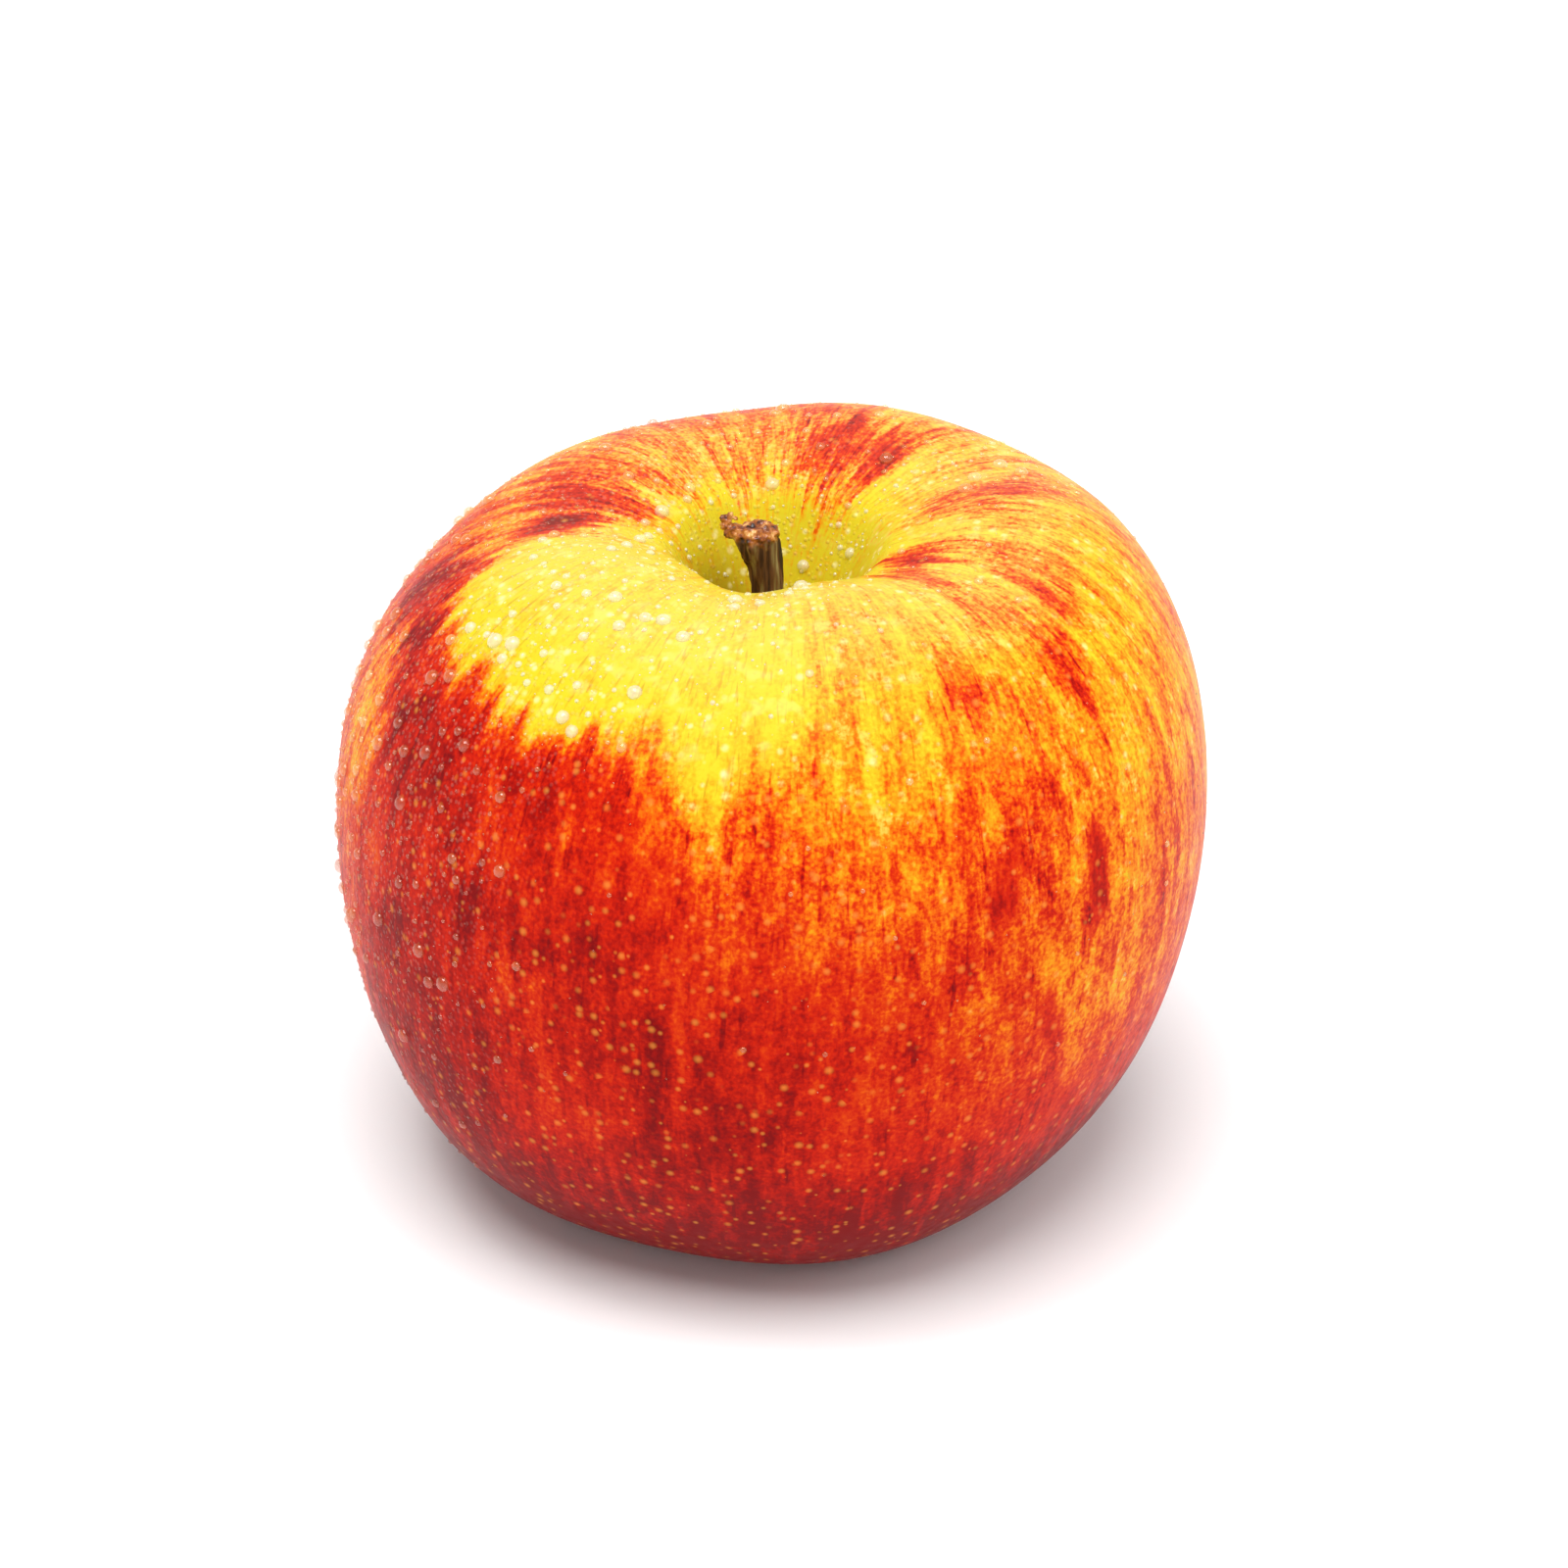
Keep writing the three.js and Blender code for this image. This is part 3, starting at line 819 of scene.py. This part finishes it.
def woody_stem():
    """Dry apple wood: dull, furrowed olive and brown bark, and a brown, gummy, shiny broken end."""
    material, tree = new_material("Dry stem bark")
    solid = add(tree, "ShaderNodeTexCoord").outputs["Object"]
    broken = add(tree, "ShaderNodeAttribute", attribute_name="broken").outputs["Fac"]
    # Fibres run up the stem, half a millimetre wide and several long.
    drawn = add(tree, "ShaderNodeVectorMath", {0: solid, 1: (1, 1, 0.07)}, operation="MULTIPLY")
    fibre = add(tree, "ShaderNodeTexNoise", {"Vector": drawn, "Scale": 1 / (0.55 * MM), "Detail": 4.0})
    bark = ramp(
        add(tree, "ShaderNodeValToRGB", {0: fibre}),
        ((0.32, "#1D0E06"), (0.44, "#45260F"), (0.52, "#6B4526"), (0.60, "#7E6A42"), (0.72, "#A8996C")),
    )
    gum = add(tree, "ShaderNodeTexNoise", {"Vector": solid, "Scale": 1 / (0.9 * MM), "Detail": 3.0})
    gummy = ramp(
        add(tree, "ShaderNodeValToRGB", {0: gum}),
        ((0.35, "#2A0E05"), (0.45, "#80401A"), (0.55, "#BA6E2C"), (0.66, "#E4AE68")),
    )
    colour = add(tree, "ShaderNodeMix", {0: broken, 6: bark, 7: gummy}, data_type="RGBA")
    rough = add(tree, "ShaderNodeMapRange", {0: broken, 3: 0.72, 4: 0.28})
    bump = add(tree, "ShaderNodeBump", {"Strength": 0.6, "Distance": 0.12 * MM, "Height": fibre})
    wood = add(
        tree,
        "ShaderNodeBsdfPrincipled",
        {"Base Color": colour.outputs[2], "Roughness": rough, "IOR": 1.5, "Normal": bump},
    )
    add(tree, "ShaderNodeOutputMaterial", {0: wood})
    return material


def ellipsoid(middle, half, rings=10, sides=16):
    """A rounded lump, with its middle and its half sizes."""
    path = []
    radii = []
    for ring in range(1, rings):
        turn = ring / rings * math.pi
        path.append(middle + Vector((0, 0, -math.cos(turn) * half.z)))
        radii.append(Vector((half.x, half.y, 1)) * math.sin(turn))
    return tube(path, radii, sides)


def joined(shapes):
    """Several shapes as one list of points and one of faces."""
    points = []
    faces = []
    for more_points, more_faces in shapes:
        faces += [tuple(i + len(points) for i in face) for face in more_faces]
        points += more_points
    return points, faces


class APPLE_OT_stem(bpy.types.Operator):
    """Grow the furrowed stem and the knob it broke off at, as one closed skin."""

    bl_idname = "apple.stem"
    bl_label = "Stem"

    def execute(self, context):
        size = context.scene.apple_stem
        seat = STEM_SEAT
        knots = [Vector(point) * MM + seat for point, _ in STEM_COURSE]
        steps = 40
        fine = [i / steps * (len(knots) - 1) for i in range(steps + 1)]
        path = []
        radii = []
        for at in fine:
            low = min(int(at), len(knots) - 2)
            path.append(knots[low].lerp(knots[low + 1], at - low))
            share = STEM_COURSE[low][1] + (STEM_COURSE[low + 1][1] - STEM_COURSE[low][1]) * (at - low)
            radii.append(share * size.waist)
        lumps = [ellipsoid(Vector(middle) * MM + seat, Vector(half) * MM) for middle, half in KNOB_LUMPS]
        points, faces = joined([tube(path, radii, 32), *lumps])
        stem = mesh_object("apple_stem", points, faces, woody_stem())
        remesh = stem.modifiers.new("Blend", "REMESH")
        remesh.mode = "VOXEL"
        remesh.voxel_size = size.fineness
        remesh.use_smooth_shade = True
        soften = stem.modifiers.new("Soften", "SMOOTH")
        soften.iterations = 3
        apply_modifiers(stem)
        mesh = stem.data
        normals = [vertex.normal.copy() for vertex in mesh.vertices]
        broken = []
        for vertex, normal in zip(mesh.vertices, normals):
            place = (vertex.co - seat) / MM
            end = soft_step(place.z + 0.5 * noise.noise(place * 1.3), 12.9, 13.7)
            furrow = noise.noise(Vector((place.x * 2.1, place.y * 2.1, place.z * 0.22)))
            furrow += 0.5 * noise.noise(Vector((place.x * 4.7, place.y * 4.7, place.z * 0.5)))
            lump = noise.noise(place * 2.4) + 0.5 * noise.noise(place * 5.5)
            vertex.co += normal * size.fibre_depth * (furrow * (1 - end) + lump * end)
            broken.append(end)
        mesh.attributes.new("broken", "FLOAT", "POINT").data.foreach_set("value", broken)
        mesh.update()
        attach(stem, "root")
        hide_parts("stem")
        return {"FINISHED"}


# ---------------------------------------------------------------- calyx


def dry_leaf():
    """Withered sepals and stamens: grey-brown, hairy and dull, darker where the same noise sinks their bump.
    """
    material, tree = new_material("Withered calyx")
    solid = add(tree, "ShaderNodeTexCoord").outputs["Object"]
    down = add(tree, "ShaderNodeVectorMath", {0: solid, 1: (1, 1, 0.25)}, operation="MULTIPLY")
    hair = add(tree, "ShaderNodeTexNoise", {"Vector": down, "Scale": 1 / (0.4 * MM), "Detail": 4.0})
    colour = ramp(
        add(tree, "ShaderNodeValToRGB", {0: hair}),
        ((0.34, "#2A1C10"), (0.48, "#5C4630"), (0.58, "#7C6A4C"), (0.70, "#A89878")),
    )
    bump = add(tree, "ShaderNodeBump", {"Strength": 0.7, "Distance": 0.15 * MM, "Height": hair})
    leaf = add(
        tree,
        "ShaderNodeBsdfPrincipled",
        {"Base Color": colour, "Roughness": 0.85, "IOR": 1.5, "Normal": bump},
    )
    add(tree, "ShaderNodeOutputMaterial", {0: leaf})
    return material


def sepal_sheet(size, turn, seat, reach):
    """A withered sepal, as a sheet that leans in, curls out at its tip and crumples at its edges."""
    steps, strips = 18, 10
    length = size.sepal_length
    points = []
    for step in range(steps + 1):
        along = step / steps
        out = (-0.74 * math.sin(math.pi * min(along * 1.2, 1)) + 1.36 * along**3) * MM
        half = size.sepal_width / 2 * (0.75 + 0.9 * along) * (1 - along**2.2) ** 0.8 + 0.1 * MM
        for strip in range(strips + 1):
            across = strip / strips * 2 - 1
            crumple = noise.noise(Vector((across * 1.7 + turn * 9, along * 4, turn))) * 0.3 * MM * abs(across)
            cup = 0.3 * MM * across**2
            spot = Vector((reach + out - cup + crumple, across * half, -along * 0.9 * length - 0.3 * MM))
            spot.rotate(Euler((0, 0, turn)))
            points.append(seat + spot)
    faces = []
    for step in range(steps):
        for strip in range(strips):
            low = step * (strips + 1) + strip
            faces.append((low, low + strips + 1, low + strips + 2, low + 1))
    return points, faces


# The basin's middle, along X.
BASIN_SHIFT = -0.47 * MM
# The pad that the stamens stand on: mm down from the basin's floor, and radius in mm.
STAMEN_PAD = ((0.3, 0.9), (0.6, 1.2), (1.0, 1.2), (1.3, 0.8))


class APPLE_OT_calyx(bpy.types.Operator):
    """Make the withered sepals, and the tuft of stamens between them."""

    bl_idname = "apple.calyx"
    bl_label = "Calyx"

    def execute(self, context):
        size = context.scene.apple_calyx
        shape = context.scene.apple_shape
        leaf = dry_leaf()
        seat = Vector((BASIN_SHIFT, 0, shape.basin_depth))
        reach = size.sepal_width / 2 / math.tan(math.pi / size.sepals) + 1.04 * MM
        for number in range(size.sepals):
            turn = shape.lobe_angle + number / size.sepals * math.tau
            points, faces = sepal_sheet(size, turn, seat, reach)
            sepal = mesh_object(f"withered_sepal_{number + 1}", points, faces, leaf)
            thicken = sepal.modifiers.new("Thicken", "SOLIDIFY")
            thicken.thickness = 0.34 * MM
            thicken.offset = 0
            apply_modifiers(sepal)
            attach(sepal, "root")
            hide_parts(f"sepal_{number + 1}")
        middles = [seat + Vector((0, 0, -drop * MM)) for drop, _ in STAMEN_PAD]
        threads = [tube(middles, [radius * MM for _, radius in STAMEN_PAD], 24)]
        for number in range(size.stamens):
            turn = number * math.radians(137.5)
            foot = 0.95 * MM * math.sqrt(number / size.stamens)
            bend = 0.9 * foot * (0.6 + 0.5 * noise.noise(Vector((number * 3.1, 0, 0))))
            height = (3.1 + 0.9 * noise.noise(Vector((0, number * 2.7, 0)))) * MM
            path = []
            radii = []
            for step in range(9):
                along = step / 8
                out = foot + bend * along**2
                sway = 0.25 * MM * math.sin(along * 3 + number)
                spot = Vector((out, sway, -1.0 * MM - height * along))
                spot.rotate(Euler((0, 0, turn)))
                path.append(seat + spot)
                radii.append((0.11 + 0.13 * max(0, 1 - abs(along - 0.93) / 0.09)) * MM)
            threads.append(tube(path, radii, 8))
        points, faces = joined(threads)
        tuft = mesh_object("withered_stamens", points, faces, leaf)
        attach(tuft, "root")
        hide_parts("stamen_tuft")
        return {"FINISHED"}


# ---------------------------------------------------------------- water


# Drops and beads of mist on each square millimetre of soaked skin, and the height of one over its width.
DROPS = 0.22
BEADS = 0.9
DROP_HEIGHT = 0.75


def clear_water():
    """Tap water: clear, very smooth, and bright where it mirrors the light.

    It is see-through and takes the colour of the skin it lies on, made paler: that paleness is painted
    reflection of the bright room. The coat makes up for the mirror light that being see-through takes away.
    """
    material, tree = new_material("Clear water")
    blush = add(tree, "ShaderNodeAttribute", attribute_name="blush").outputs["Fac"]
    # Painted reflection: the skin's colour under the drop, made paler for the bright room that the water
    # mirrors.
    ground = ramp(
        add(tree, "ShaderNodeValToRGB", {0: blush}),
        ((0.05, "#FFFFE6"), (0.35, "#FFE890"), (0.60, "#F4A052"), (0.90, "#CC5A34")),
    )
    water = add(
        tree,
        "ShaderNodeBsdfPrincipled",
        {
            "Base Color": ground,
            "Roughness": 0.05,
            "IOR": 1.33,
            "Specular IOR Level": 1.0,
            "Coat Weight": 1.0,
            "Coat Roughness": 0.04,
            "Coat IOR": 1.9,
            "Alpha": 0.40,
        },
    )
    add(tree, "ShaderNodeOutputMaterial", {0: water})
    return material


def scatter_tree(sizes, water, sides, rings):
    """Sets low round drops on the wet parts of the skin."""
    tree, given = node_group("Scatter Drops", sizes)
    wet = add(tree, "GeometryNodeInputNamedAttribute", {"Name": "wet"}, data_type="FLOAT")
    soaked = add(tree, "ShaderNodeClamp", {0: wet})
    # None near the foot, where a drop would reach the ground.
    here = add(tree, "GeometryNodeInputPosition")
    height = add(tree, "ShaderNodeSeparateXYZ", {0: here})
    off_ground = add(tree, "ShaderNodeMapRange", {0: height.outputs[2], 1: 3 * MM, 2: 8 * MM})
    kept = add(tree, "ShaderNodeMath", {0: soaked, 1: off_ground}, operation="MULTIPLY")
    spots = add(
        tree,
        "GeometryNodeDistributePointsOnFaces",
        {
            "Mesh": given.outputs["Geometry"],
            "Distance Min": given.outputs["Spacing"],
            "Density Max": given.outputs["Density"],
            "Density Factor": kept,
            "Seed": given.outputs["Seed"],
        },
        distribute_method="POISSON",
    )
    chance = add(tree, "FunctionNodeRandomValue", {"Seed": given.outputs["Seed"]}, data_type="FLOAT")
    # Most drops are small, and all of them are where there is little water.
    small = add(tree, "ShaderNodeMath", {0: chance.outputs[1], 1: 3.0}, operation="POWER")
    pooled = add(tree, "ShaderNodeMapRange", {0: soaked, 1: 0.05, 2: 0.40, 3: 0.2, 4: 1.0})
    share = add(tree, "ShaderNodeMath", {0: small, 1: pooled}, operation="MULTIPLY")
    radius = add(
        tree, "ShaderNodeMapRange", {0: share, 3: given.outputs["Smallest"], 4: given.outputs["Largest"]}
    )
    low = add(tree, "ShaderNodeCombineXYZ", {0: 1.0, 1: 1.0, 2: DROP_HEIGHT})
    scale = add(tree, "ShaderNodeVectorMath", {0: low, "Scale": radius}, operation="SCALE")
    bead = add(tree, "GeometryNodeMeshUVSphere", {"Segments": sides, "Rings": rings, "Radius": 1.0})
    placed = add(
        tree,
        "GeometryNodeInstanceOnPoints",
        {"Points": spots, "Instance": bead, "Rotation": spots.outputs["Rotation"], "Scale": scale},
    )
    real = add(tree, "GeometryNodeRealizeInstances", {"Geometry": placed})
    smooth = add(tree, "GeometryNodeSetShadeSmooth", {"Geometry": real})
    dressed = add(tree, "GeometryNodeSetMaterial", {"Geometry": smooth, "Material": water})
    add(tree, "NodeGroupOutput", {0: dressed})
    return tree


class APPLE_OT_water(bpy.types.Operator):
    """Scatter the drops and the mist that rinsing left on the skin."""

    bl_idname = "apple.water"
    bl_label = "Water"

    def execute(self, context):
        size = context.scene.apple_water
        fruit = bpy.data.objects["apple_fruit"]
        water = clear_water()
        drops = {
            "Spacing": size.drop_spacing,
            "Density": DROPS / MM**2,
            "Smallest": size.smallest_drop,
            "Largest": size.largest_drop,
            "Seed": size.seed,
        }
        mist = {
            "Spacing": size.mist_spacing,
            "Density": BEADS / MM**2,
            "Smallest": size.smallest_bead,
            "Largest": size.largest_bead,
            "Seed": size.seed + 1,
        }
        for name, sizes, sides, rings in (("water_drops", drops, 10, 6), ("water_mist", mist, 6, 4)):
            beads = grown_mesh(fruit, scatter_tree(sizes, water, sides, rings), sizes, name)
            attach(beads, "root")
        return {"FINISHED"}


# ---------------------------------------------------------------- stage


class APPLE_OT_stage(bpy.types.Operator):
    """Set up the pale floor, the soft light and the camera."""

    bl_idname = "apple.stage"
    bl_label = "Stage"

    def execute(self, context):
        scene = context.scene
        paint_white, tree = new_material("Matt white board")
        board = add(tree, "ShaderNodeBsdfPrincipled", {"Base Color": linear("#FBFBFB"), "Roughness": 0.6})
        add(tree, "ShaderNodeOutputMaterial", {0: board})
        half = 3.0  # metres
        corners = [(-half, -half, 0), (half, -half, 0), (half, half, 0), (-half, half, 0)]
        floor = mesh_object("floor", corners, [(0, 1, 2, 3)], paint_white, smooth=False)

        # A room with pale walls and a dimmer ceiling.
        world = bpy.data.worlds.new("Pale room")
        world.use_nodes = True
        tree = world.node_tree
        tree.nodes.clear()
        way = add(tree, "ShaderNodeSeparateXYZ", {0: add(tree, "ShaderNodeTexCoord").outputs["Generated"]})
        ceiling = {0: way.outputs[2], 1: 0.14, 2: 0.45, 3: 1.0, 4: 0.38}
        glow = add(tree, "ShaderNodeMapRange", ceiling, interpolation_type="SMOOTHSTEP")
        walls = add(tree, "ShaderNodeBackground", {"Color": (1, 1, 1, 1), "Strength": glow})
        add(tree, "ShaderNodeOutputWorld", {0: walls})
        scene.world = world

        # Two big softboxes, far enough off to light the whole board evenly, and a small window that glints
        # in the drops: the place and width of each, which for a softbox is an angle, and its strength.
        middle = Vector((0, 0, scene.apple_shape.crown_height / 2))
        for name, kind, place, width, strength in (
            ("overhead_softbox", "SUN", (-0.16, -0.32, 1.9), math.radians(42), 2.85),
            ("side_softbox", "SUN", (1.05, -0.40, 1.3), math.radians(40), 0.70),
            ("small_window", "AREA", (-0.20, -0.10, 0.72), 0.10, 0.35),
        ):
            light = bpy.data.lights.new(name, kind)
            light.energy = strength
            if kind == "SUN":
                light.angle = width
            else:
                light.shape = "DISK"
                light.size = width
            lamp = bpy.data.objects.new(name, light)
            lamp.location = place
            lamp.rotation_euler = (middle - lamp.location).to_track_quat("-Z", "Y").to_euler()
            scene.collection.objects.link(lamp)

        lens = bpy.data.cameras.new("camera")
        lens.sensor_width = 36
        lens.lens = 77.8
        lens.clip_start = 0.01
        lens.shift_x = 0.0083
        lens.shift_y = 0.026
        camera = bpy.data.objects.new("camera", lens)
        looking_down = math.radians(30)
        back = Vector((0, -math.cos(looking_down), math.sin(looking_down)))
        distance = 0.3
        camera.location = middle + back * distance
        camera.rotation_euler = (-back).to_track_quat("-Z", "Y").to_euler()
        scene.collection.objects.link(camera)
        scene.camera = camera
        scene.view_settings.view_transform = "Standard"
        return {"FINISHED"}


class APPLE_PT_panel(bpy.types.Panel):
    """Lists the pieces and the stage."""

    bl_idname = "APPLE_PT_panel"
    bl_label = "Dessert Apple"
    bl_space_type = "VIEW_3D"
    bl_region_type = "UI"
    bl_category = "Apple"

    def draw(self, context):
        for operator in OPERATORS:
            self.layout.operator(operator.bl_idname)


SETTINGS = {
    "apple_shape": APPLE_PG_shape,
    "apple_skin": APPLE_PG_skin,
    "apple_stem": APPLE_PG_stem,
    "apple_calyx": APPLE_PG_calyx,
    "apple_water": APPLE_PG_water,
}
OPERATORS = (APPLE_OT_fruit, APPLE_OT_stem, APPLE_OT_calyx, APPLE_OT_water, APPLE_OT_stage)


def register():
    for cls in (*SETTINGS.values(), *OPERATORS, APPLE_PT_panel):
        bpy.utils.register_class(cls)
    for name, group in SETTINGS.items():
        setattr(bpy.types.Scene, name, bpy.props.PointerProperty(type=group))


def unregister():
    for name in SETTINGS:
        delattr(bpy.types.Scene, name)
    for cls in (APPLE_PT_panel, *reversed(OPERATORS), *SETTINGS.values()):
        bpy.utils.unregister_class(cls)


def main():
    register()
    for operator in OPERATORS:
        family, name = operator.bl_idname.split(".")
        getattr(getattr(bpy.ops, family), name)()


if __name__ == "__main__":
    main()
